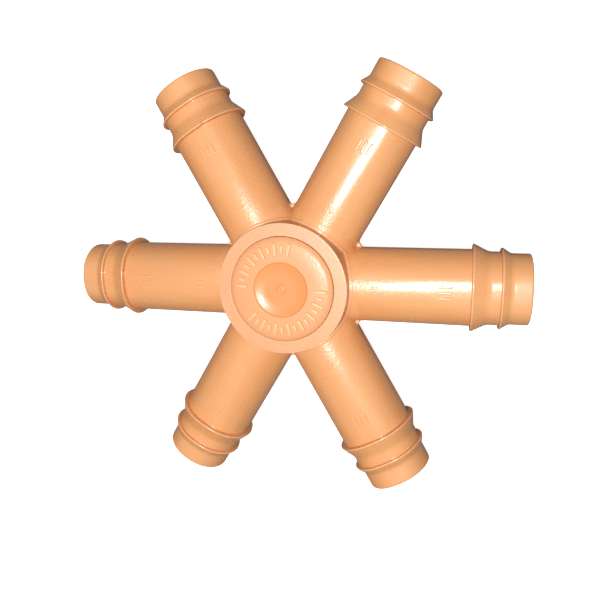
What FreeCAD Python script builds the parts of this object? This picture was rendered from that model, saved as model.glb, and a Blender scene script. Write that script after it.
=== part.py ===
import FreeCAD, Part
import os
import re
import Sketcher

# Six-outlet barbed connector for soft irrigation pipe.
# The frame has +Z up. Its origin is on the hub's axis, on the flat face that the hub stands on.
# Outlet 1 points along +X, and the others follow every 60 degrees, anticlockwise seen from above.

SIZES = (
    # Hub
    ("outlet_count", 6, "barbed outlets round the hub"),
    ("axis_height", 9.5, "outlet axes above the standing face"),
    ("boss_radius", 12.5, "round boss of the hub"),
    ("boss_height", 19.0, "standing face to the rim"),
    ("boss_round", 0.35, "rounding of the rim and of the foot"),
    ("root_reach", 14.0, "hub axis to the end of each moulded root"),
    ("root_fillet", 0.6, "fillet between the boss and the roots"),
    ("web_reach", 15.6, "hub axis to the straight edge of each crotch web"),
    ("web_half_width", 0.9, "half the width of a crotch web"),
    ("web_thickness", 1.0, "thickness of a crotch web"),
    ("chamber_radius", 9.0, "water chamber inside the hub"),
    ("chamber_floor", 2.6, "standing face to the chamber's floor"),
    ("foot_recess_radius", 9.8, "shallow recess under the hub"),
    ("foot_recess_depth", 0.6, "depth of that recess"),
    ("seat_radius", 10.05, "counterbore that takes the hub cap"),
    ("seat_depth", 1.8, "depth of that counterbore below the rim"),
    # Hub cap
    ("cap_radius", 9.97, "flange of the cap"),
    ("cap_edge_rise", 0.65, "cap's edge above the rim"),
    ("cap_crown_rise", 1.05, "cap's crown above the rim"),
    ("cap_crown_radius", 9.5, "where the crown starts to fall"),
    ("cap_crown_blend", 1.2, "rounding between the crown and its slope"),
    ("dish_radius", 5.2, "edge of the dish in the middle of the cap"),
    ("dish_floor_radius", 4.3, "floor of that dish"),
    ("dish_depth", 0.5, "depth of that dish"),
    ("dish_blend", 3.0, "rounding at the dish's floor"),
    ("plug_radius", 8.95, "plug that centres the cap in the chamber"),
    ("plug_depth", 1.4, "how far the plug enters the chamber"),
    ("plug_hollow_radius", 7.4, "hollow under the cap"),
    # Outlets, measured from the hub's axis and from the outlet's axis
    ("tube_radius", 7.25, "outside of the plain tube"),
    ("bore_radius", 5.2, "water way"),
    ("tenon_radius", 6.1, "tenon of an outlet in its root"),
    ("tenon_length", 2.5, "length of that tenon"),
    ("big_barb_at", 34.4, "sharp edge of the inner barb"),
    ("big_barb_radius", 8.27, "inner barb"),
    ("big_barb_length", 3.2, "inner barb, edge to neck"),
    ("neck_radius", 6.87, "neck between the barbs"),
    ("small_barb_at", 39.45, "sharp edge of the outer barb"),
    ("small_barb_radius", 7.63, "outer barb"),
    ("small_barb_length", 1.9, "outer barb, edge to nose"),
    ("nose_radius", 6.62, "plain nose that enters the pipe first"),
    ("outlet_reach", 44.7, "hub axis to the end of the nose"),
    ("nose_round", 0.4, "rounding of the nose"),
    ("mouth_chamfer", 0.3, "chamfer at the mouth of the water way"),
    ("big_barb_sweep", 3.5, "hollow sweep from the inner barb to the neck"),
    ("small_barb_sweep", 2.0, "hollow sweep from the outer barb to the nose"),
)

# A sketch's own axes, as its constraints number them.
HORIZONTAL_AXIS = -1
VERTICAL_AXIS = -2

doc = FreeCAD.newDocument("barbed_star_connector")
sheet = doc.addObject("Spreadsheet::Sheet", "sizes")
for row, (word, number, meaning) in enumerate(SIZES, start=1):
    sheet.set(f"A{row}", meaning)
    sheet.set(f"B{row}", str(number))
    sheet.setAlias(f"B{row}", word)
doc.recompute()


def size(word):
    """A driving dimension, read from the sheet."""
    return float(getattr(sheet, word))


def cells(formula):
    """A formula in the sheet's words, such as '-axis_height', with each word bound to its cell."""
    return re.sub(r"[a-z]+(_[a-z]+)+", lambda word: f"sizes.{word.group()}", formula)


def new_body(label):
    body = doc.addObject("PartDesign::Body", label)
    body.Label = label
    return body


def origin_feature(body, role):
    for feature in body.Origin.OriginFeatures:
        if feature.Role == role:
            return feature
    raise ValueError(role)


def new_sketch(body, name, role):
    sketch = body.newObject("Sketcher::SketchObject", name)
    sketch.AttachmentSupport = [(origin_feature(body, role), "")]
    sketch.MapMode = "FlatFace"
    return sketch


def bind(sketch, kind, first, vertex, formula):
    """Hold one coordinate of a point at a formula, measured from the sketch's origin."""
    value = float(sketch.evalExpression(cells(formula)))
    if value == 0:
        axis = HORIZONTAL_AXIS if kind == "DistanceY" else VERTICAL_AXIS
        sketch.addConstraint(Sketcher.Constraint("PointOnObject", first, vertex, axis))
        return
    index = sketch.addConstraint(Sketcher.Constraint(kind, -1, 1, first, vertex, value))
    sketch.setExpression(f"Constraints[{index}]", cells(formula))


def outline(sketch, points):
    """A closed outline through points, each a pair of formulas."""
    places = []
    for across, up in points:
        x = float(sketch.evalExpression(cells(across)))
        y = float(sketch.evalExpression(cells(up)))
        places.append(FreeCAD.Vector(x, y, 0))
    count = len(places)
    for index in range(count):
        sketch.addGeometry(Part.LineSegment(places[index], places[(index + 1) % count]), False)
    for index in range(count):
        following = (index + 1) % count
        sketch.addConstraint(Sketcher.Constraint("Coincident", index, 2, following, 1))
    for index, (across, up) in enumerate(points):
        bind(sketch, "DistanceX", index, 1, across)
        bind(sketch, "DistanceY", index, 1, up)


def turned(body, kind, sketch, name, axis_role):
    """A Revolution or Groove of a sketch, once round one of the body's own axes."""
    feature = body.newObject(f"PartDesign::{kind}", name)
    feature.Profile = sketch
    feature.ReferenceAxis = (origin_feature(body, axis_role), [""])
    feature.Angle = 360
    return feature


def round_edges(body, name, wanted, radius_word, kind="Fillet"):
    """Fillet or chamfer the edges of the body's last feature for which wanted(edge) is true."""
    doc.recompute()
    base = body.Tip
    chosen = [f"Edge{i}" for i, edge in enumerate(base.Shape.Edges, start=1) if wanted(edge)]
    if not chosen:
        raise ValueError(f"{name}: no edge to round")
    feature = body.newObject(f"PartDesign::{kind}", name)
    feature.Base = (base, chosen)
    value = "Radius" if kind == "Fillet" else "Size"
    feature.setExpression(value, cells(radius_word))
    return feature


def is_ring(edge, radius, centre, tolerance=1e-4):
    """True for a full or part circle of that radius about that centre."""
    curve = edge.Curve
    if not isinstance(curve, Part.Circle):
        return False
    near = (curve.Center - centre).Length < tolerance
    return near and abs(curve.Radius - radius) < tolerance


def on_z(height):
    return FreeCAD.Vector(0, 0, height)


def on_x(reach):
    return FreeCAD.Vector(reach, 0, 0)


def stand_at(body, height_word, turn=0.0):
    """Turn a body about the hub's axis, in degrees, and lift it to a height from the sheet."""
    spin = FreeCAD.Rotation(FreeCAD.Vector(0, 0, 1), turn)
    body.Placement = FreeCAD.Placement(FreeCAD.Vector(0, 0, 0), spin)
    body.setExpression("Placement.Base.z", cells(height_word))


def repeat_round(body, name, features):
    """Repeat features about the hub's axis, once for each outlet."""
    pattern = body.newObject("PartDesign::PolarPattern", name)
    pattern.Originals = features
    pattern.Axis = (origin_feature(body, "Z_Axis"), [""])
    pattern.Angle = 360
    pattern.setExpression("Occurrences", cells("outlet_count"))
    body.Tip = pattern
    return pattern


def make_hub_body():
    """Round boss, six moulded roots with sockets, six crotch webs, and the water chamber.

    The body's own frame has its origin on the outlets' plane, and its Placement lifts it.
    """
    body = new_body("hub_body")
    foot = "-axis_height"
    rim = "boss_height - axis_height"

    boss_sketch = new_sketch(body, "boss_outline", "XZ_Plane")
    outline(boss_sketch, (
        ("0", foot + " + foot_recess_depth"),
        ("foot_recess_radius", foot + " + foot_recess_depth"),
        ("foot_recess_radius", foot),
        ("boss_radius", foot),
        ("boss_radius", rim),
        ("0", rim),
    ))
    turned(body, "Revolution", boss_sketch, "boss", "Z_Axis")

    root_sketch = new_sketch(body, "root_outline", "XZ_Plane")
    outline(root_sketch, (
        ("0", "0"),
        ("root_reach", "0"),
        ("root_reach", "tube_radius"),
        ("0", "tube_radius"),
    ))
    root = turned(body, "Revolution", root_sketch, "root", "X_Axis")
    repeat_round(body, "roots", [root])

    def boss_meets_root(edge):
        point = edge.valueAt((edge.FirstParameter + edge.LastParameter) / 2)
        on_boss = abs(point.x ** 2 + point.y ** 2 - size("boss_radius") ** 2) < 0.01
        return on_boss and abs(point.z) < size("tube_radius") + 0.01

    round_edges(body, "root_fillets", boss_meets_root, "root_fillet")

    web_sketch = new_sketch(body, "web_outline", "XY_Plane")
    half_turn = FreeCAD.Rotation(FreeCAD.Vector(0, 0, 1), 180 / size("outlet_count"))
    web_sketch.AttachmentOffset = FreeCAD.Placement(FreeCAD.Vector(0, 0, 0), half_turn)
    outline(web_sketch, (
        ("boss_radius", "-web_half_width"),
        ("web_reach", "-web_half_width"),
        ("web_reach", "web_half_width"),
        ("boss_radius", "web_half_width"),
    ))
    web = body.newObject("PartDesign::Pad", "web")
    web.Profile = web_sketch
    web.setExpression("Length", cells("web_thickness"))
    web.Midplane = True
    repeat_round(body, "webs", [web])

    rim_ring = on_z(size("boss_height") - size("axis_height"))
    foot_ring = on_z(-size("axis_height"))

    def rim_or_foot(edge):
        outer = size("boss_radius")
        return is_ring(edge, outer, rim_ring) or is_ring(edge, outer, foot_ring)

    round_edges(body, "rim_and_foot_round", rim_or_foot, "boss_round")

    chamber_sketch = new_sketch(body, "chamber_outline", "XZ_Plane")
    outline(chamber_sketch, (
        ("0", foot + " + chamber_floor"),
        ("chamber_radius", foot + " + chamber_floor"),
        ("chamber_radius", rim + " - seat_depth"),
        ("seat_radius", rim + " - seat_depth"),
        ("seat_radius", rim + " + seat_depth"),
        ("0", rim + " + seat_depth"),
    ))
    turned(body, "Groove", chamber_sketch, "chamber", "Z_Axis")

    socket_sketch = new_sketch(body, "socket_outline", "XZ_Plane")
    outline(socket_sketch, (
        ("0", "0"),
        ("root_reach + tenon_length", "0"),
        ("root_reach + tenon_length", "tenon_radius"),
        ("root_reach - tenon_length", "tenon_radius"),
        ("root_reach - tenon_length", "bore_radius"),
        ("0", "bore_radius"),
    ))
    socket = turned(body, "Groove", socket_sketch, "socket", "X_Axis")
    repeat_round(body, "sockets", [socket])

    stand_at(body, "axis_height")
    return body


def make_hub_cap():
    """Round cap that closes the chamber: a flange in the rim's counterbore and a hollow plug."""
    body = new_body("hub_cap")
    under = "-seat_depth"
    crown = "cap_crown_rise"
    cap_sketch = new_sketch(body, "cap_outline", "XZ_Plane")
    outline(cap_sketch, (
        ("0", under),
        ("plug_hollow_radius", under),
        ("plug_hollow_radius", under + " - plug_depth"),
        ("plug_radius", under + " - plug_depth"),
        ("plug_radius", under),
        ("cap_radius", under),
        ("cap_radius", "cap_edge_rise"),
        ("cap_crown_radius", crown),
        ("dish_radius", crown),
        ("dish_floor_radius", crown + " - dish_depth"),
        ("0", crown + " - dish_depth"),
    ))
    turned(body, "Revolution", cap_sketch, "cap", "Z_Axis")

    crown_ring = on_z(size("cap_crown_rise"))
    floor_ring = on_z(size("cap_crown_rise") - size("dish_depth"))
    round_edges(
        body, "crown_blend",
        lambda edge: is_ring(edge, size("cap_crown_radius"), crown_ring),
        "cap_crown_blend",
    )
    round_edges(
        body, "dish_blend_round",
        lambda edge: is_ring(edge, size("dish_floor_radius"), floor_ring),
        "dish_blend",
    )
    stand_at(body, "boss_height")
    return body


def make_outlet(number):
    """One barbed outlet: tenon, plain tube, two barbs swept back into a neck and a nose."""
    body = new_body(f"barbed_outlet_{number}")
    outlet_sketch = new_sketch(body, f"outlet_outline_{number}", "XZ_Plane")
    outline(outlet_sketch, (
        ("root_reach - tenon_length", "bore_radius"),
        ("outlet_reach", "bore_radius"),
        ("outlet_reach", "nose_radius"),
        ("small_barb_at + small_barb_length", "nose_radius"),
        ("small_barb_at", "small_barb_radius"),
        ("small_barb_at", "neck_radius"),
        ("big_barb_at + big_barb_length", "neck_radius"),
        ("big_barb_at", "big_barb_radius"),
        ("big_barb_at", "tube_radius"),
        ("root_reach", "tube_radius"),
        ("root_reach", "tenon_radius"),
        ("root_reach - tenon_length", "tenon_radius"),
    ))
    turned(body, "Revolution", outlet_sketch, f"outlet_{number}", "X_Axis")

    big_foot = on_x(size("big_barb_at") + size("big_barb_length"))
    small_foot = on_x(size("small_barb_at") + size("small_barb_length"))
    tip = on_x(size("outlet_reach"))
    round_edges(
        body, f"big_sweep_{number}",
        lambda edge: is_ring(edge, size("neck_radius"), big_foot),
        "big_barb_sweep",
    )
    round_edges(
        body, f"small_sweep_{number}",
        lambda edge: is_ring(edge, size("nose_radius"), small_foot),
        "small_barb_sweep",
    )
    round_edges(
        body, f"nose_round_{number}",
        lambda edge: is_ring(edge, size("nose_radius"), tip),
        "nose_round",
    )
    round_edges(
        body, f"mouth_{number}",
        lambda edge: is_ring(edge, size("bore_radius"), tip),
        "mouth_chamfer",
        kind="Chamfer",
    )
    stand_at(body, "axis_height", 360 / size("outlet_count") * (number - 1))
    return body


pieces = [make_hub_body(), make_hub_cap()]
for outlet_number in range(1, int(size("outlet_count")) + 1):
    pieces.append(make_outlet(outlet_number))
doc.recompute()

for item in doc.Objects:
    if "Invalid" in item.State or "Error" in item.State:
        raise RuntimeError(f"{item.Label}: {item.State}")
for piece in pieces:
    if piece.Shape.isNull() or not piece.Shape.isValid() or len(piece.Shape.Solids) != 1:
        raise RuntimeError(f"{piece.Label}: not one valid solid")

os.makedirs("parts", exist_ok=True)
for piece in pieces:
    piece.Shape.exportStep(f"parts/{piece.Label}.step")
    box = piece.Shape.BoundBox
    print(
        f"{piece.Label}: {piece.Shape.Volume:.1f} mm3, "
        f"{box.XLength:.2f} x {box.YLength:.2f} x {box.ZLength:.2f} mm, from z {box.ZMin:.2f}"
    )
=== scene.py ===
import math

import bmesh
import bpy
import numpy as np
from mathutils import Matrix, Vector, noise


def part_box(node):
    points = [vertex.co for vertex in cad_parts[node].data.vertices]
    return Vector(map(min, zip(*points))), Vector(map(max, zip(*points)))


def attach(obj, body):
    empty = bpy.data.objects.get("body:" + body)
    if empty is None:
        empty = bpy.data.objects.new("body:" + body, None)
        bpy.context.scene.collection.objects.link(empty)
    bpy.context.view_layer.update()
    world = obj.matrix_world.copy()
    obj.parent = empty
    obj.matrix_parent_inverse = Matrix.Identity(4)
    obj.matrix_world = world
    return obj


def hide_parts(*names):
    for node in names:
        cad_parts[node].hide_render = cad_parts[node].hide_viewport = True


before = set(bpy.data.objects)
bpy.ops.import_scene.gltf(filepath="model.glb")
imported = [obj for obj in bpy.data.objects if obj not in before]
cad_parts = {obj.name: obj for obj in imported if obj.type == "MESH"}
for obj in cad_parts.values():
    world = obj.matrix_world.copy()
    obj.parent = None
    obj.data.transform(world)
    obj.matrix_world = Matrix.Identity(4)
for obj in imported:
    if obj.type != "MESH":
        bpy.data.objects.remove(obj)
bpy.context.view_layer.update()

# Six-outlet barbed star connector, moulded in glossy orange plastic.
# Shapes are worked out in millimetres and become metres when a mesh is made.
# An outlet's own frame has its origin on the hub's axis, +X along the outlet and +Z up.

MM = 0.001
outlet_low, outlet_high = (Vector(corner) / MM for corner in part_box("barbed_outlet_1"))
hub_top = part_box("hub_body")[1][2] / MM
cap_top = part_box("hub_cap")[1][2] / MM

OUTLET_COUNT = 6
AXIS_HEIGHT = (outlet_low.z + outlet_high.z) / 2

# Outlet
REACH = outlet_high.x
TENON_AT = outlet_low.x
ROOT_REACH = 14.0
TENON_RADIUS = 6.1
TUBE_RADIUS = 7.25
BORE_RADIUS = 5.2
MOUTH_CHAMFER = 0.3
BIG_BARB_AT = 34.4
BIG_BARB_RADIUS = (outlet_high.z - outlet_low.z) / 2
BIG_BARB_LENGTH = 2.9
BIG_BARB_SWEEP = 2.2
NECK_RADIUS = 6.87
SMALL_BARB_AT = 39.45
SMALL_BARB_RADIUS = 7.63
SMALL_BARB_LENGTH = 1.7
SMALL_BARB_SWEEP = 1.2
NOSE_RADIUS = 6.62
NOSE_ROUND = 0.4
LIP_ROUND = 0.17
CREASE = 0.12
FLASH_HEIGHT = 0.035
FLASH_WIDTH = 0.1
SINK = 0.01
FLAT_DEPTH = 0.30
FLAT_WIDTH = 0.36

# Hub and cap
BOSS_RADIUS = 12.5
CAP_RADIUS = 9.97
SEAT_DEPTH = 1.8
PLUG_RADIUS = 8.95
PLUG_DEPTH = 1.4
PLUG_HOLLOW_RADIUS = 7.4
DISH_RADIUS = 5.2
DISH_FLOOR_RADIUS = 2.6
DISH_SWEEP = 6.6
DISH_STRAIGHT = 4.4
DISH_STEP = 0.16

ARC_STEP = math.radians(9)
SUPPORT = 0.05
LOT_SHIFT = 40.0
SHARP_ANGLE = math.radians(50)
JOINT_CLEAR = 0.9
BAR_SKIRT = 0.08
SECTOR = math.tau / OUTLET_COUNT


def corner_arc(corner, before, after, radius):
    """Points of the arc that rounds a corner, with a support point just outside each end."""
    back = (before - corner).normalized()
    on = (after - corner).normalized()
    half = back.angle(on) / 2
    reach = radius / math.tan(half)
    centre = corner + (back + on).normalized() * (radius / math.sin(half))
    first = corner + back * reach - centre
    last = corner + on * reach - centre
    start = math.atan2(first.y, first.x)
    sweep = (math.atan2(last.y, last.x) - start + math.pi) % math.tau - math.pi
    steps = max(2, math.ceil(abs(sweep) / ARC_STEP))
    arc = [corner + back * (reach + SUPPORT)]
    for step in range(steps + 1):
        angle = start + sweep * step / steps
        arc.append(centre + Vector((math.cos(angle), math.sin(angle))) * radius)
    arc.append(corner + on * (reach + SUPPORT))
    return arc


def rounded(corners, closed):
    """An outline through (along, out, rounding) corners, with arcs where rounding isn't 0."""
    line = []
    count = len(corners)
    for index, (along, out, rounding) in enumerate(corners):
        corner = Vector((along, out))
        at_end = not closed and index in (0, count - 1)
        if rounding == 0 or at_end:
            line.append(corner)
            continue
        before = Vector(corners[index - 1][:2])
        after = Vector(corners[(index + 1) % count][:2])
        line += corner_arc(corner, before, after, rounding)
    return line


def divided(line, longest, closed):
    """The same outline with no step longer than that."""
    fine = []
    following = line[1:] + [line[0]] if closed else line[1:]
    for here, there in zip(line, following):
        steps = max(1, math.ceil((there - here).length / longest))
        fine += [here.lerp(there, step / steps) for step in range(steps)]
    if not closed:
        fine.append(line[-1])
    return fine


def angles_round(count, fine_places=(), fine_offsets=()):
    """Angles once round, evenly spaced, with extra ones beside each fine place."""
    angles = {round(math.tau * step / count, 6) for step in range(count)}
    for place in fine_places:
        for offset in fine_offsets:
            for side in (-1, 1):
                angles.add(round((place + side * offset) % math.tau, 6))
    return sorted(angles)


def lathe(bm, line, angles, place, closed):
    """Turn an outline round an axis into a bmesh. place(along, out, angle) gives each point."""
    rings = []
    for along, out in line:
        if out < 1e-6:
            rings.append([bm.verts.new(place(along, 0.0, 0.0))])
        else:
            rings.append([bm.verts.new(place(along, out, angle)) for angle in angles])
    following = rings[1:] + [rings[0]] if closed else rings[1:]
    for near, far in zip(rings, following):
        for step in range(len(angles)):
            turn = (step + 1) % len(angles)
            ring = (
                near[step % len(near)],
                near[turn % len(near)],
                far[turn % len(far)],
                far[step % len(far)],
            )
            bm.faces.new(list(dict.fromkeys(ring)))


def raised_bar(bm, length, width, height, place):
    """A bar with round ends and rounded top edges. place(along, across, up) gives each point."""
    half = width / 2
    straight = max(length / 2 - half, 0.001)
    end_steps = 8
    round_steps = 4
    round_off = height / 2
    profile = [(half + 0.05, -BAR_SKIRT), (half + 0.03, 0.0), (half, height - round_off)]
    for step in range(1, round_steps + 1):
        angle = math.pi / 2 * step / round_steps
        reach = half - round_off * (1 - math.cos(angle))
        profile.append((reach, height - round_off * (1 - math.sin(angle))))
    rings = []
    for reach, up in profile:
        ring = []
        for side in (1, -1):
            for step in range(end_steps + 1):
                angle = math.pi * (step / end_steps - 0.5)
                along = side * (straight + reach * math.cos(angle))
                ring.append(bm.verts.new(place(along, side * reach * math.sin(angle), up)))
        rings.append(ring)
    count = len(rings[0])
    for outer, inner in zip(rings, rings[1:]):
        for step in range(count):
            turn = (step + 1) % count
            bm.faces.new((outer[step], outer[turn], inner[turn], inner[step]))
    crown = bm.verts.new(place(0.0, 0.0, height))
    top = rings[-1]
    for step in range(count):
        bm.faces.new((top[step], top[(step + 1) % count], crown))


def bends(mesh):
    """How sharply the skin bends at each point, per millimetre; hollows are below zero."""
    count = len(mesh.vertices)
    places = np.empty(count * 3, np.float32)
    mesh.vertices.foreach_get("co", places)
    places = places.reshape(-1, 3).astype(float) / MM
    normals = np.empty(count * 3, np.float32)
    mesh.vertex_normals.foreach_get("vector", normals)
    normals = normals.reshape(-1, 3)
    ends = np.empty(len(mesh.edges) * 2, np.int32)
    mesh.edges.foreach_get("vertices", ends)
    ends = ends.reshape(-1, 2)
    total = np.zeros(count)
    edges = np.zeros(count)
    for here, there in ((ends[:, 0], ends[:, 1]), (ends[:, 1], ends[:, 0])):
        gap = places[here] - places[there]
        bend = 2 * (normals[here] * gap).sum(1) / np.maximum((gap ** 2).sum(1), 1e-4)
        total += np.bincount(here, bend, count)
        edges += np.bincount(here, minlength=count)
    return total / np.maximum(edges, 1)


def finished(name, bm, material, node, lot=0, stand=Matrix.Identity(4)):
    """Make the piece of a bmesh in millimetres; it stands for a CAD node and rides on its body.

    Its material's pattern follows own_place, which is where each point lies in the piece's own
    frame, shifted by its lot so that no two pieces have the same pattern. Its painted edge
    highlights and painted crease shade follow bend, which is left out at the joint between a root
    and its outlet, where the skins are flush.
    """
    bmesh.ops.recalc_face_normals(bm, faces=bm.faces)
    own_place = np.array([vert.co for vert in bm.verts]) + (0, LOT_SHIFT * lot, 0)
    bmesh.ops.transform(bm, matrix=Matrix.Scale(MM, 4) @ stand, verts=bm.verts)
    mesh = bpy.data.meshes.new(name)
    bm.to_mesh(mesh)
    bm.free()
    attribute = mesh.attributes.new("own_place", "FLOAT_VECTOR", "POINT")
    attribute.data.foreach_set("vector", own_place.astype(np.float32).ravel())
    x, y = (own_place - (0, LOT_SHIFT * lot, 0))[:, :2].T
    nearest = np.arctan2(y, x) % SECTOR
    turn = np.minimum(nearest, SECTOR - nearest)
    along = x if lot else np.hypot(x, y) * np.cos(turn)
    off_joint = np.abs(along - ROOT_REACH) > JOINT_CLEAR
    attribute = mesh.attributes.new("bend", "FLOAT", "POINT")
    attribute.data.foreach_set("value", (bends(mesh) * off_joint).astype(np.float32))
    mesh.shade_smooth()
    mesh.set_sharp_from_angle(angle=SHARP_ANGLE)
    mesh.materials.append(material)
    piece = bpy.data.objects.new(name, mesh)
    bpy.context.scene.collection.objects.link(piece)
    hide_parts(node)
    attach(piece, "root")
    return piece


def smooth_step(value, low, high):
    share = min(max((value - low) / (high - low), 0.0), 1.0)
    return share * share * (3 - 2 * share)


# Outlets

PARTING_ANGLES = (math.pi / 2, 3 * math.pi / 2)
FLAT_ANGLES = (0, math.pi, math.tau)
WAVE_LENGTH = 4
WAVES_ACROSS = 1.7
WAVE_LOT = 9.0

# Nibs of flash on the inner barb: the outlet's number, then where along and at which angle
NIBS = {3: (BIG_BARB_AT, math.radians(-14)), 5: (BIG_BARB_AT, math.radians(40))}
NIB_HEIGHT = 0.14
NIB_WIDTH = 0.16
NIB_STRETCH = 0.8

# Raised bars in place of digits: length, width and height of a bar, where along, and the gap between
OUTER_MARK = (2.5, 0.5, 0.24)
OUTER_MARK_AT = 29.8
OUTER_MARK_GAP = 1.1
INNER_MARK = (1.3, 0.42, 0.2)
INNER_MARK_AT = 17.2
INNER_MARK_GAP = 0.5

OUTLET_ANGLES = 144
LONGEST_OUTLET_STEP = 0.8
FINE_OFFSETS = tuple(math.radians(step) for step in (0, 0.35, 0.7, 1.1, 1.6))


def barb_crest(radius, length, foot_radius):
    """Height of the sharp corner whose rounded lip just reaches the barb's radius."""
    slope = math.atan2(radius - foot_radius, length)
    return radius + LIP_ROUND * (math.tan(slope) + 1 / math.cos(slope) - 1)


def outlet_line():
    big_crest = barb_crest(BIG_BARB_RADIUS, BIG_BARB_LENGTH, NECK_RADIUS)
    small_crest = barb_crest(SMALL_BARB_RADIUS, SMALL_BARB_LENGTH, NOSE_RADIUS)
    corners = (
        (TENON_AT, BORE_RADIUS, CREASE),
        (REACH - MOUTH_CHAMFER, BORE_RADIUS, CREASE),
        (REACH, BORE_RADIUS + MOUTH_CHAMFER, CREASE),
        (REACH, NOSE_RADIUS, NOSE_ROUND),
        (SMALL_BARB_AT + SMALL_BARB_LENGTH, NOSE_RADIUS, SMALL_BARB_SWEEP),
        (SMALL_BARB_AT, small_crest, LIP_ROUND),
        (SMALL_BARB_AT, NECK_RADIUS, CREASE),
        (BIG_BARB_AT + BIG_BARB_LENGTH, NECK_RADIUS, BIG_BARB_SWEEP),
        (BIG_BARB_AT, big_crest, LIP_ROUND),
        (BIG_BARB_AT, TUBE_RADIUS, CREASE),
        (ROOT_REACH, TUBE_RADIUS, 0),
        (ROOT_REACH, TENON_RADIUS, 0),
        (TENON_AT, TENON_RADIUS, CREASE),
    )
    return divided(rounded(corners, True), LONGEST_OUTLET_STEP, True)


def outlet_rise(number, along, out, angle):
    """How far the outlet's skin stands off its turned shape: sink, flats, parting line and nib."""
    share = smooth_step(along, ROOT_REACH + 0.6, ROOT_REACH + 4) * smooth_step(out, 6.0, NOSE_RADIUS)
    if share == 0:
        return 0.0
    wave = Vector((along / WAVE_LENGTH, math.sin(angle) * WAVES_ACROSS, math.cos(angle) * WAVES_ACROSS))
    rise = SINK * noise.noise(wave + Vector((0, 0, WAVE_LOT * number)))
    flat = FLAT_DEPTH * smooth_step(along, ROOT_REACH + 2, BIG_BARB_AT)
    for middle in FLAT_ANGLES:
        rise -= flat * math.exp(-(((angle - middle) / FLAT_WIDTH) ** 2))
    for parting in PARTING_ANGLES:
        off = abs(angle - parting) * out
        rise += FLASH_HEIGHT * math.exp(-((off / FLASH_WIDTH) ** 2))
    if number in NIBS:
        nib_at, nib_angle = NIBS[number]
        turn = (angle - nib_angle + math.pi) % math.tau - math.pi
        off = math.hypot(turn * out, (along - nib_at - 0.1) * NIB_STRETCH)
        rise += NIB_HEIGHT * math.exp(-((off / NIB_WIDTH) ** 2))
    return rise * share


def make_outlet(number, material):
    """One outlet: bore, tube, two hollow-swept barbs with rounded lips, nose and raised marks."""
    nib_angles = [NIBS[number][1]] if number in NIBS else []
    angles = angles_round(OUTLET_ANGLES, [*PARTING_ANGLES, *nib_angles], FINE_OFFSETS)

    def place(along, out, angle):
        skin = out + outlet_rise(number, along, out, angle)
        return Vector((along, skin * math.sin(angle), skin * math.cos(angle)))

    bm = bmesh.new()
    lathe(bm, outlet_line(), angles, place, True)

    def on_tube(middle_along, middle_across):
        def put(along, across, up):
            angle = (middle_across + across) / TUBE_RADIUS
            return place(middle_along + along, TUBE_RADIUS + up, angle)
        return put

    for step in (-1, 0, 1):
        raised_bar(bm, *OUTER_MARK, on_tube(OUTER_MARK_AT, OUTER_MARK_GAP * step))
    for step in (-1, 1):
        raised_bar(bm, *INNER_MARK, on_tube(INNER_MARK_AT, INNER_MARK_GAP * step))
    turn = Matrix.Rotation(math.tau * (number - 1) / OUTLET_COUNT, 4, "Z")
    stand = Matrix.Translation((0, 0, AXIS_HEIGHT)) @ turn
    return finished(f"outlet_{number}", bm, material, f"barbed_outlet_{number}", number, stand)


# Cap

CROWN_FLAT = 6.5
CROWN_EDGE = 8.8
CROWN_FALL = 0.15
EDGE_SWEEP = 2.4
SWEEP_STEPS = 8
DISH_STEPS = 12
CAP_ANGLES = 192
LONGEST_CAP_STEP = 0.5

# The gate mark: height above the dish's floor, distance out and rounding of each corner
GATE_MARK = (
    (-0.02, 0, 0), (-0.02, 0.2, 0.08), (0.10, 0.3, 0.05), (0.10, 0.46, 0.05),
    (0, 0.56, 0.08), (0, 0.86, 0.05), (-0.1, 0.94, 0.03), (0, 1.0, 0.05),
)

# Raised bars in place of lettering, in two arcs: first and last degree and how many
BAR_HEIGHT = 0.3
BAR_LENGTHS = (2.5, 1.5)
BAR_WIDTH = 0.62
BARS_OUT = 7.7
UPPER_BARS = (78, 176, 11)
LOWER_BARS = (224, 359, 15)


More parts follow.
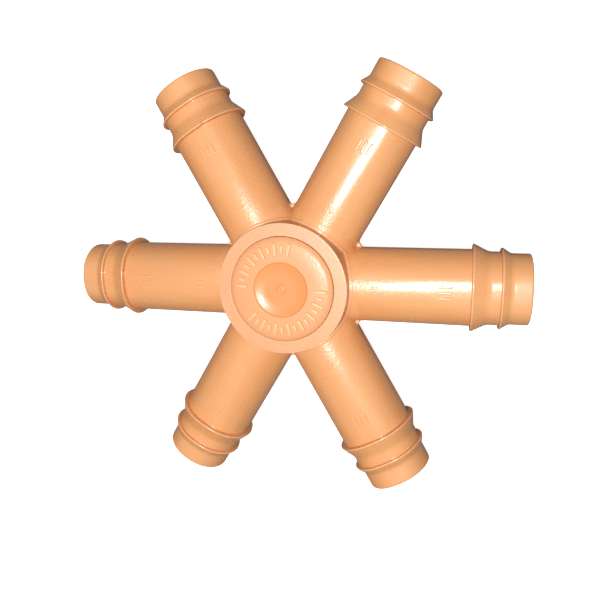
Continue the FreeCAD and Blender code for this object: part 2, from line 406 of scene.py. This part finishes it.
def cap_line():
    """Half section of the cap, from the middle of its top to the middle of its underside."""
    top = cap_top - BAR_HEIGHT
    wall_turn = math.asin((DISH_STRAIGHT - DISH_FLOOR_RADIUS) / DISH_SWEEP)
    wall_rise = (DISH_RADIUS - DISH_STRAIGHT) * math.tan(wall_turn)
    floor_rise = top - DISH_STEP - wall_rise - DISH_SWEEP * (1 - math.cos(wall_turn))
    middle = [(floor_rise + rise, out, rounding) for rise, out, rounding in GATE_MARK]
    line = rounded([*middle, (floor_rise, DISH_FLOOR_RADIUS - 0.1, 0)], False)
    for step in range(DISH_STEPS + 1):
        angle = wall_turn * step / DISH_STEPS
        out = DISH_FLOOR_RADIUS + DISH_SWEEP * math.sin(angle)
        line.append(Vector((floor_rise + DISH_SWEEP * (1 - math.cos(angle)), out)))
    line.append(Vector((top - DISH_STEP, DISH_RADIUS)))
    step_foot = Vector((top - DISH_STEP + 0.03, DISH_RADIUS + 0.03))
    line += corner_arc(Vector((top, DISH_RADIUS + 0.14)), step_foot, Vector((top, CROWN_FLAT)), 0.08)
    line.append(Vector((top, CROWN_FLAT)))
    start_slope = 2 * CROWN_FALL / (CROWN_EDGE - CROWN_FLAT)
    for step in range(1, SWEEP_STEPS + 1):
        share = step / SWEEP_STEPS
        out = CROWN_FLAT + (CROWN_EDGE - CROWN_FLAT) * share
        line.append(Vector((top - CROWN_FALL * share ** 2, out)))
    turn = math.atan(start_slope)
    middle_rise = top - CROWN_FALL - EDGE_SWEEP * math.cos(turn)
    middle_out = CROWN_EDGE - EDGE_SWEEP * math.sin(turn)
    last_turn = math.asin((CAP_RADIUS - 0.1 - middle_out) / EDGE_SWEEP)
    for step in range(1, SWEEP_STEPS + 1):
        angle = turn + (last_turn - turn) * step / SWEEP_STEPS
        out = middle_out + EDGE_SWEEP * math.sin(angle)
        line.append(Vector((middle_rise + EDGE_SWEEP * math.cos(angle), out)))
    edge = line[-1].x
    under = hub_top - SEAT_DEPTH
    line += rounded((
        (edge, CAP_RADIUS - 0.1, 0),
        (edge - 0.06, CAP_RADIUS, 0.1),
        (under, CAP_RADIUS, CREASE),
        (under, PLUG_RADIUS, CREASE),
        (under - PLUG_DEPTH, PLUG_RADIUS, CREASE),
        (under - PLUG_DEPTH, PLUG_HOLLOW_RADIUS, CREASE),
        (under, PLUG_HOLLOW_RADIUS, CREASE),
        (under, 0, 0),
    ), False)[1:]
    return divided(line, LONGEST_CAP_STEP, False)


def make_cap(material):
    """The cap: domed crown, dish with its gate mark, plug underneath and two arcs of raised bars."""
    line = cap_line()

    def place(rise, out, angle):
        return Vector((out * math.cos(angle), out * math.sin(angle), rise))

    bm = bmesh.new()
    lathe(bm, line, angles_round(CAP_ANGLES), place, False)
    crown = [(point.y, point.x) for point in line if point.x > hub_top and point.y > DISH_RADIUS]
    outs = [out for out, rise in crown]
    rises = [rise for out, rise in crown]

    def on_crown(middle_out, turn):
        def put(along, across, up):
            out = middle_out + along
            return place(float(np.interp(out, outs, rises)) + up, out, turn + across / out)
        return put

    for first, last, count in (UPPER_BARS, LOWER_BARS):
        for step in range(count):
            turn = math.radians(first + (last - first) * step / (count - 1))
            raised_bar(bm, BAR_LENGTHS[step % 2], BAR_WIDTH, BAR_HEIGHT, on_crown(BARS_OUT, turn))
    return finished("cap", bm, material, "hub_cap")


# Hub

SEAT_RADIUS = 10.05
BOSS_ROUND = 0.18
ROOT_FILLET = 0.2
COLLAR_RADIUS = 13.2
COLLAR_HEIGHT = 0.13
COLLAR_SLOPE = 0.15
CROTCH_FILLET = 0.3
EDGE_ROUND = 0.1
WEB_REACH = 15.6
WEB_HALF_WIDTH = 1.2
WEB_THICKNESS = 1.0
WEB_ROUND = 0.2
CHAMBER_RADIUS = 9.0
CHAMBER_FLOOR = 2.6
RECESS_RADIUS = 9.8
RECESS_DEPTH = 0.6
ROOT_TUCK = 0.45
TUCK_DEPTH = 0.008
TUCK_SLOPE = 0.7
TURN_STEPS = 234

# The hub's grid, in stretches: from, to and the longest step
OUT_LEVELS = (
    (0.8, 5.0, 0.9), (5.0, 9.2, 0.45), (9.2, 10.4, 0.1), (10.4, 12.0, 0.35),
    (12.0, 13.4, 0.1), (13.4, 16.2, 0.2),
)
RISE_LEVELS = (
    (-0.15, 0.75, 0.1), (0.75, 2.4, 0.3), (2.4, 2.8, 0.1), (2.8, 16.9, 0.31),
    (16.9, 17.5, 0.12), (17.5, 18.5, 0.25), (18.5, 19.15, 0.07),
)


def levels(stretches):
    """Grid levels, each stretch with its own step."""
    parts = []
    for low, high, step in stretches:
        parts.append(np.linspace(low, high, math.ceil((high - low) / step), endpoint=False))
    return np.concatenate([*parts, [stretches[-1][1]]])


def joined(one, other, radius):
    """Distance to two solids joined with a hollow fillet."""
    corner = np.hypot(np.maximum(radius - one, 0), np.maximum(radius - other, 0))
    return np.maximum(radius, np.minimum(one, other)) - corner


def shared(one, other, radius):
    """Distance to what two solids share, with its edge rounded."""
    corner = np.hypot(np.maximum(radius + one, 0), np.maximum(radius + other, 0))
    return np.minimum(-radius, np.maximum(one, other)) + corner


def hub_distance(x, y, z):
    """Signed distance in millimetres from points in the row frame to the hub's skin."""
    out = np.hypot(x, y)
    turn = np.abs((np.arctan2(y, x) + SECTOR / 2) % SECTOR - SECTOR / 2)
    rise = z - AXIS_HEIGHT
    along = out * np.cos(turn)
    across = out * np.sin(turn)
    from_axis = np.hypot(across, rise)
    next_along = out * np.cos(SECTOR - turn)
    next_from_axis = np.hypot(out * np.sin(SECTOR - turn), rise)

    boss = shared(out - BOSS_RADIUS, np.abs(z - hub_top / 2) - hub_top / 2, BOSS_ROUND)
    collar = COLLAR_HEIGHT * np.clip((COLLAR_RADIUS - out) / COLLAR_SLOPE, 0, 1)
    tuck = TUCK_DEPTH * np.clip((along - ROOT_REACH + TUCK_SLOPE) / TUCK_SLOPE, 0, 1)
    root = np.maximum(from_axis - TUBE_RADIUS - collar + tuck, along - ROOT_REACH - ROOT_TUCK)
    next_root = np.maximum(next_from_axis - TUBE_RADIUS - collar, next_along - ROOT_REACH)
    roots = joined(root, next_root, CROTCH_FILLET)
    solid = joined(boss, roots, ROOT_FILLET)

    web_along = out * np.cos(SECTOR / 2 - turn)
    web_across = np.abs(out * np.sin(SECTOR / 2 - turn))
    plate = shared(np.abs(rise) - WEB_THICKNESS / 2, web_along - WEB_REACH, WEB_ROUND)
    web = np.maximum(plate, web_across - WEB_HALF_WIDTH)
    solid = joined(solid, web, CROTCH_FILLET)

    chamber = np.maximum(out - CHAMBER_RADIUS, CHAMBER_FLOOR - z)
    seat = np.maximum(out - SEAT_RADIUS, hub_top - SEAT_DEPTH - z)
    recess = np.maximum(out - RECESS_RADIUS, z - RECESS_DEPTH)
    socket = np.maximum(from_axis - TENON_RADIUS, TENON_AT - along)
    for hole in (from_axis - BORE_RADIUS, socket, chamber, seat, recess):
        solid = shared(solid, -hole, EDGE_ROUND)
    return solid


def net(distance, x, y, z):
    """Surface net: one point in each grid cell that the skin crosses, and a face round each crossed
    grid edge. The grids hold the signed distance and the points' places; axis 1 goes once round."""
    places = np.stack([x, y, z], -1)
    cells = (distance.shape[0] - 1, distance.shape[1] - 1, distance.shape[2] - 1)
    total = np.zeros((*cells, 3))
    count = np.zeros(cells)
    crossed = []
    for axis in range(3):
        low = [slice(None)] * 3
        high = [slice(None)] * 3
        low[axis], high[axis] = slice(None, -1), slice(1, None)
        near, far = distance[tuple(low)], distance[tuple(high)]
        cross = (near < 0) != (far < 0)
        crossed.append(cross)
        share = np.where(cross, near / np.where(cross, near - far, 1), 0)[..., None]
        points = places[tuple(low)] * (1 - share) + places[tuple(high)] * share
        first, second = (other for other in range(3) if other != axis)
        for step in (0, 1):
            for other_step in (0, 1):
                part = [slice(None)] * 3
                part[first] = slice(step, step + cells[first])
                part[second] = slice(other_step, other_step + cells[second])
                mask = cross[tuple(part)]
                total += np.where(mask[..., None], points[tuple(part)], 0)
                count += mask
    used = count > 0
    number = np.full(cells, -1)
    number[used] = np.arange(used.sum())
    faces = []
    for axis, cross in enumerate(crossed):
        cross = cross.copy()
        if axis != 1:
            cross[:, -1] = False
        for edge_axis in (0, 2):
            if edge_axis != axis:
                ends = [slice(None)] * 3
                ends[edge_axis] = [0, -1]
                cross[tuple(ends)] = False
        at = np.argwhere(cross)
        first, second = (other for other in range(3) if other != axis)
        corners = []
        for step, other_step in ((0, 0), (1, 0), (1, 1), (0, 1)):
            cell = at.copy()
            cell[:, first] -= step
            cell[:, second] -= other_step
            cell[:, 1] %= cells[1]
            corners.append(number[cell[:, 0], cell[:, 1], cell[:, 2]])
        faces.append(np.stack(corners, 1))
    return total[used] / count[used][:, None], np.concatenate(faces)


def settled(points, distance, rounds=4):
    """Move points along the distance's slope until they lie on the skin."""
    probe = 0.01
    for _ in range(rounds):
        off = distance(*points.T)
        slope = np.empty_like(points)
        for axis in range(3):
            shift = np.zeros(3)
            shift[axis] = probe
            slope[:, axis] = (distance(*(points + shift).T) - distance(*(points - shift).T)) / (2 * probe)
        steep = np.maximum((slope ** 2).sum(1), 0.2)
        move = (off / steep)[:, None] * slope
        points = points - np.clip(move, -0.1, 0.1)
    return points


def make_hub(material):
    """The hub as one skin: boss, six roots, webs, cap seat, chamber, sockets and foot recess."""
    out = levels(OUT_LEVELS)
    rise = levels(RISE_LEVELS)
    turn = np.linspace(0, math.tau, TURN_STEPS + 1)
    out_grid, turn_grid, z = np.meshgrid(out, turn, rise, indexing="ij")
    x = out_grid * np.cos(turn_grid)
    y = out_grid * np.sin(turn_grid)
    points, faces = net(hub_distance(x, y, z), x, y, z)
    points = settled(points, hub_distance)
    bm = bmesh.new()
    verts = [bm.verts.new(point) for point in points]
    for face in faces:
        bm.faces.new([verts[index] for index in face])
    middles = [bm.verts.new((0, 0, RECESS_DEPTH)), bm.verts.new((0, 0, CHAMBER_FLOOR))]
    for edge in [edge for edge in bm.edges if edge.is_boundary]:
        upper = edge.verts[0].co.z > (RECESS_DEPTH + CHAMBER_FLOOR) / 2
        bm.faces.new((*edge.verts, middles[upper]))
    return finished("hub", bm, material, "hub_body")


# Materials

# Colours, as linear red, green and blue
BASE_DEEP = (0.790, 0.345, 0.128)
BASE_PALE = (0.840, 0.405, 0.167)
DISH_DEEP = (0.79, 0.305, 0.102)
# Painted light: the thin webs are painted pale as if lit through
WEB_PAINTED_LIGHT = (0.92, 0.56, 0.32)
# Pale tone of the rim and crown, partly their own colour and partly painted sheen; also a painted
# highlight on the collar ridge
RIM_PALE_AND_SHEEN = (0.83, 0.380, 0.185)
# Painted highlight on sharp convex edges and on the tops of the raised bars
PAINTED_HIGHLIGHT = (0.93, 0.52, 0.27)
# Painted shade in the groove between the cap and the hub
GROOVE_PAINTED_SHADE = (0.42, 0.17, 0.06)
# Painted shade in creases and hollows
CREASE_PAINTED_SHADE = (0.50, 0.19, 0.06)

# Sizes of the patterns, in waves per millimetre
CLOUDS = 0.22
SPECKS = 3.4
BLOTCHES = 1.1
SOFT_WAVES = 1.5
GRAIN = 3.2
STREAKS = 6

# Roughness: at the glossier and the duller specks, and what is added at other places
ROUGH_LOW = 0.22
ROUGH_HIGH = 0.34
ROUGH_NEAR_HUB = 0.06
ROUGH_ON_NOSE = 0.2
ROUGH_ON_CAP = 0.05
ROUGH_ON_CROWN = 0.08
SPECULAR = 0.95
SPECULAR_ON_CAP = 0.55

# Depth of the soft waves and of the grain in metres, and how much of each is where
SOFT_DEPTH = 0.00003
GRAIN_DEPTH = 0.0000042
GRAIN_LOW = 0.6
GRAIN_HIGH = 1.1
GRAIN_NEAR_HUB = 7.5
GRAIN_ON_BARBS = 0.35
WAVES_AFAR = 0.3

NEAR_HUB = 15
FAR_FROM_HUB = 24
NOSE_AT = SMALL_BARB_AT + SMALL_BARB_LENGTH + 0.15


def add(tree, kind, **inputs):
    """A new node, with sockets set by name; a name in small letters sets the node's own property."""
    node = tree.nodes.new(kind)
    for name, value in inputs.items():
        if name[0].islower():
            setattr(node, name, value)
        else:
            node.inputs[name.replace("_", " ")].default_value = value
    return node


def ramp(tree, source, low, high, start=0.0, end=1.0):
    """Ease a value from start to end while the source goes from low to high."""
    node = add(tree, "ShaderNodeMapRange", interpolation_type="SMOOTHSTEP")
    tree.links.new(source, node.inputs["Value"])
    for name, value in (("From Min", low), ("From Max", high), ("To Min", start), ("To Max", end)):
        node.inputs[name].default_value = value
    return node.outputs["Result"]


def worked(tree, operation, *sources):
    """A maths node fed by other nodes' outputs or by plain numbers."""
    node = add(tree, "ShaderNodeMath", operation=operation)
    for source, socket in zip(sources, node.inputs):
        if isinstance(source, (int, float)):
            socket.default_value = source
        else:
            tree.links.new(source, socket)
    return node.outputs["Value"]


def less(tree, source):
    """The rest of a share: 1 less the source."""
    return worked(tree, "SUBTRACT", 1, source)


def plus(tree, value, share, more):
    """A value with some more of it where the share is 1."""
    return worked(tree, "MULTIPLY_ADD", share, more, value)


def beside(tree, source, middle):
    """How far the source is from a middle value."""
    return worked(tree, "ABSOLUTE", worked(tree, "SUBTRACT", source, middle))


def both(tree, one, other):
    """Two shares at once, or a value times a share."""
    return worked(tree, "MULTIPLY", one, other)


def tinted(tree, under, colour, share):
    """Cover a colour with another by a share."""
    node = add(tree, "ShaderNodeMix", data_type="RGBA")
    tree.links.new(under, node.inputs["A"])
    node.inputs["B"].default_value = (*colour, 1)
    tree.links.new(share, node.inputs["Factor"])
    return node.outputs["Result"]


def patches(tree, vector, scale, detail):
    node = add(tree, "ShaderNodeTexNoise", Scale=scale, Detail=detail)
    tree.links.new(vector, node.inputs["Vector"])
    return node.outputs["Fac"]


def hub_finish(tree, axes, blotches, shader, colour, gloss, grain):
    """What differs on the hub and its cap: a rim and crown painted paler, partly their own tone and
    partly painted sheen, painted highlights on the bar tops and the collar ridge, a deeper dish, webs
    painted pale as if light shone through them, painted shade in the groove round the cap, and
    coarse grain on the side. Returns colour, gloss, grain and waves."""
    flat = add(tree, "ShaderNodeCombineXYZ")
    tree.links.new(axes.outputs["X"], flat.inputs["X"])
    tree.links.new(axes.outputs["Y"], flat.inputs["Y"])
    length = add(tree, "ShaderNodeVectorMath", operation="LENGTH")
    tree.links.new(flat.outputs["Vector"], length.inputs[0])
    out = length.outputs["Value"]
    rise = axes.outputs["Z"]

    high = ramp(tree, rise, hub_top - 0.25, hub_top - 0.05)
    colour = tinted(tree, colour, DISH_DEEP, high)
    # Crown and speckled rim are painted paler: partly their own tone, partly painted sheen
    on_crown = both(tree, ramp(tree, out, DISH_RADIUS, DISH_RADIUS + 0.3, 0, 0.75), high)
    on_rim = both(tree, ramp(tree, out, SEAT_RADIUS + 0.05, SEAT_RADIUS + 0.15), high)
    speckled = both(tree, on_rim, ramp(tree, blotches, 0.35, 0.65, 0.3, 1.0))
    colour = tinted(tree, colour, RIM_PALE_AND_SHEEN, worked(tree, "MAXIMUM", on_crown, speckled))
    # Painted highlight: the tops of the raised bars on the cap are painted pale
    lit_bar_tops = ramp(tree, rise, cap_top - 0.2, cap_top - 0.08, 0, 0.7)
    colour = tinted(tree, colour, PAINTED_HIGHLIGHT, lit_bar_tops)
    on_cap = worked(tree, "SUBTRACT", high, on_rim)
    gloss = plus(tree, gloss, on_crown, ROUGH_ON_CROWN)
    gloss = plus(tree, gloss, on_cap, ROUGH_ON_CAP)
    gloss = plus(tree, gloss, less(tree, on_cap), ROUGH_NEAR_HUB)
    grain = plus(tree, grain, less(tree, high), GRAIN_NEAR_HUB)
    waves = ramp(tree, rise, hub_top - 0.25, hub_top - 0.05, 1.0, WAVES_AFAR)
    specular = worked(tree, "MULTIPLY_ADD", on_cap, SPECULAR_ON_CAP - SPECULAR, SPECULAR)
    tree.links.new(specular, shader.inputs["Specular IOR Level"])

    # Painted highlight on the collar ridge round the foot of the boss
    past_slope = ramp(tree, out, COLLAR_RADIUS - 0.64, COLLAR_RADIUS - 0.5)
    lit_collar = both(tree, past_slope, ramp(tree, out, COLLAR_RADIUS - 0.1, COLLAR_RADIUS + 0.1, 0.6, 0))
    colour = tinted(tree, colour, RIM_PALE_AND_SHEEN, lit_collar)
    # Painted light: the webs are painted pale as if light shone through them
    half_web = WEB_THICKNESS / 2
    on_web = ramp(tree, beside(tree, rise, AXIS_HEIGHT), half_web - 0.05, half_web + 0.2, 1, 0)
    on_web = both(tree, on_web, ramp(tree, out, ROOT_REACH - 0.1, ROOT_REACH + 0.3))
    colour = tinted(tree, colour, WEB_PAINTED_LIGHT, on_web)
    # Painted shade: a dark ring is painted in the groove round the cap
    groove_middle = (CAP_RADIUS + SEAT_RADIUS) / 2
    groove_shade = ramp(tree, beside(tree, out, groove_middle), 0.08, 0.16, 0.7, 0)
    colour = tinted(tree, colour, GROOVE_PAINTED_SHADE, both(tree, groove_shade, high))
    return colour, gloss, grain, waves


def outlet_finish(tree, axes, gloss, grain):
    """What differs along an outlet: coarse grain near the hub, fine grain on the barbs and a duller
    nose. Returns gloss, grain and waves."""
    along = axes.outputs["X"]
    near_hub = ramp(tree, along, NEAR_HUB, FAR_FROM_HUB, 1, 0)
    near_nose = ramp(tree, along, NOSE_AT, NOSE_AT + 0.9, 0, ROUGH_ON_NOSE)
    gloss = worked(tree, "ADD", gloss, plus(tree, near_nose, near_hub, ROUGH_NEAR_HUB))
    grain = plus(tree, grain, near_hub, GRAIN_NEAR_HUB)
    waves = worked(tree, "MULTIPLY_ADD", near_hub, 1 - WAVES_AFAR, WAVES_AFAR)
    on_barbs = ramp(tree, along, BIG_BARB_AT - 0.6, BIG_BARB_AT + 0.2, 1.0, GRAIN_ON_BARBS)
    return gloss, both(tree, grain, on_barbs), waves


def moulded_plastic(name, is_hub):
    """Glossy moulded plastic: cloudy colour, streaked lengthwise on the outlets, with a painted
    highlight on sharp edges and painted shade in creases, with specks in its gloss, soft waves and
    a fine grain."""
    material = bpy.data.materials.new(name)
    material.use_nodes = True
    tree = material.node_tree
    shader = tree.nodes["Principled BSDF"]
    link = tree.links.new

    place = add(tree, "ShaderNodeAttribute", attribute_name="own_place").outputs["Vector"]
    bend = add(tree, "ShaderNodeAttribute", attribute_name="bend").outputs["Fac"]
    flow = add(tree, "ShaderNodeMapping", Scale=(1 if is_hub else 1 / STREAKS, 1, 1))
    link(place, flow.inputs["Vector"])
    axes = add(tree, "ShaderNodeSeparateXYZ")
    link(place, axes.inputs["Vector"])

    clouds = patches(tree, flow.outputs["Vector"], CLOUDS, 3.0)
    specks = patches(tree, place, SPECKS, 2.0)
    blotches = patches(tree, place, BLOTCHES, 3.0)
    tint = add(tree, "ShaderNodeValToRGB")
    deep, pale = tint.color_ramp.elements
    deep.position = 0.3
    deep.color = (*BASE_DEEP, 1)
    pale.position = 0.7
    pale.color = (*BASE_PALE, 1)
    link(clouds, tint.inputs["Fac"])
    colour = tint.outputs["Color"]
    gloss = ramp(tree, specks, 0.38, 0.62, ROUGH_LOW, ROUGH_HIGH)
    grain = ramp(tree, specks, 0.2, 0.8, GRAIN_LOW, GRAIN_HIGH)
    shader.inputs["Specular IOR Level"].default_value = SPECULAR
    if is_hub:
        colour, gloss, grain, waves = hub_finish(tree, axes, blotches, shader, colour, gloss, grain)
    else:
        gloss, grain, waves = outlet_finish(tree, axes, gloss, grain)
    # Painted highlight: sharp convex edges are painted pale
    colour = tinted(tree, colour, PAINTED_HIGHLIGHT, ramp(tree, bend, 0.7, 2.6, 0, 0.7))
    # Painted shade: creases and hollows are painted darker
    colour = tinted(tree, colour, CREASE_PAINTED_SHADE, ramp(tree, bend, -0.8, -3.0, 0, 0.45))
    link(colour, shader.inputs["Base Color"])
    link(gloss, shader.inputs["Roughness"])

    soft = add(tree, "ShaderNodeBump", Strength=1.0, Distance=SOFT_DEPTH)
    link(both(tree, patches(tree, place, SOFT_WAVES, 1.0), waves), soft.inputs["Height"])
    crisp = add(tree, "ShaderNodeBump", Strength=1.0, Distance=GRAIN_DEPTH)
    link(both(tree, patches(tree, place, GRAIN, 1.5), grain), crisp.inputs["Height"])
    link(soft.outputs["Normal"], crisp.inputs["Normal"])
    link(crisp.outputs["Normal"], shader.inputs["Normal"])
    return material


# Scene

# The camera that matches the photo's view, in millimetres and degrees
CAMERA_PLACE = (30.31, 21.15, 124.55)
CAMERA_AIM = (-1.52, -1.92, 9.5)
CAMERA_ROLL = -0.646
CAMERA_LENS = 35.68
CAMERA_SENSOR = 36.0
CAMERA_SHIFT = (0.0221, -0.0168)
CAMERA_NEAREST = 0.005

# The one lamp, a soft disc well above the hub: place and width in millimetres, power in watts
KEY_PLACE = (24, 11, 198)
KEY_WIDTH = 26
KEY_WATTS = 0.335

FLOOR_HALF = 2.0
FLOOR_PALE = (0.92, 0.92, 0.92)
FLOOR_GLOW = 0.85

# Brightness of the surroundings: level with the object, overhead, from below and straight below
SIDE_LIGHT = 0.07
SKY_LIGHT = 0.43
LOW_LIGHT = 0.28
STRAIGHT_BELOW_SHARE = 0.15


def make_camera():
    place = Vector(CAMERA_PLACE) * MM
    back = (place - Vector(CAMERA_AIM) * MM).normalized()
    right = Vector((0, 1, 0)).cross(back).normalized()
    up = back.cross(right)
    turn = Matrix((right, up, back)).transposed() @ Matrix.Rotation(math.radians(CAMERA_ROLL), 3, "Z")
    data = bpy.data.cameras.new("camera")
    data.lens = CAMERA_LENS
    data.sensor_width = CAMERA_SENSOR
    data.shift_x, data.shift_y = CAMERA_SHIFT
    data.clip_start = CAMERA_NEAREST
    camera = bpy.data.objects.new("camera", data)
    camera.matrix_world = Matrix.Translation(place) @ turn.to_4x4()
    bpy.context.scene.collection.objects.link(camera)
    bpy.context.scene.camera = camera


def make_key_lamp():
    """A round area lamp that looks at the hub."""
    place = Vector(KEY_PLACE)
    data = bpy.data.lights.new("key", "AREA")
    data.shape = "DISK"
    data.size = KEY_WIDTH * MM
    data.energy = KEY_WATTS
    lamp = bpy.data.objects.new("key", data)
    lamp.location = place * MM
    lamp.rotation_euler = (place - Vector((0, 0, AXIS_HEIGHT))).to_track_quat("Z", "Y").to_euler()
    bpy.context.scene.collection.objects.link(lamp)


def make_floor():
    bm = bmesh.new()
    bmesh.ops.create_grid(bm, x_segments=1, y_segments=1, size=FLOOR_HALF)
    mesh = bpy.data.meshes.new("floor")
    bm.to_mesh(mesh)
    bm.free()
    floor = bpy.data.objects.new("floor", mesh)
    bpy.context.scene.collection.objects.link(floor)
    pale = bpy.data.materials.new("pale_floor")
    pale.use_nodes = True
    shader = pale.node_tree.nodes["Principled BSDF"]
    shader.inputs["Base Color"].default_value = (*FLOOR_PALE, 1)
    shader.inputs["Roughness"].default_value = 0.9
    shader.inputs["Specular IOR Level"].default_value = 0.0
    shader.inputs["Emission Color"].default_value = (1, 1, 1, 1)
    shader.inputs["Emission Strength"].default_value = FLOOR_GLOW
    floor.data.materials.append(pale)
    floor.visible_diffuse = False
    floor.visible_glossy = False


def make_world():
    """White behind the object, and dim, soft light round it: brightest overhead."""
    world = bpy.data.worlds.new("world")
    world.use_nodes = True
    tree = world.node_tree
    seen = add(tree, "ShaderNodeLightPath").outputs["Is Camera Ray"]
    axes = add(tree, "ShaderNodeSeparateXYZ")
    tree.links.new(add(tree, "ShaderNodeTexCoord").outputs["Generated"], axes.inputs["Vector"])
    rise = axes.outputs["Z"]
    above = ramp(tree, rise, -0.1, 0.95, SIDE_LIGHT, SKY_LIGHT)
    below = ramp(tree, rise, -0.3, -0.8, SIDE_LIGHT, LOW_LIGHT)
    below = both(tree, below, ramp(tree, rise, -0.82, -0.96, 1.0, STRAIGHT_BELOW_SHARE))
    strength = worked(tree, "MAXIMUM", seen, worked(tree, "MAXIMUM", above, below))
    background = tree.nodes["Background"]
    background.inputs["Color"].default_value = (1, 1, 1, 1)
    tree.links.new(strength, background.inputs["Strength"])
    bpy.context.scene.world = world
    bpy.context.scene.view_settings.view_transform = "Standard"


make_camera()
make_key_lamp()
make_floor()
make_world()
outlet_plastic = moulded_plastic("outlet_plastic", False)
hub_plastic = moulded_plastic("hub_plastic", True)
for number in range(1, OUTLET_COUNT + 1):
    make_outlet(number, outlet_plastic)
make_cap(hub_plastic)
make_hub(hub_plastic)
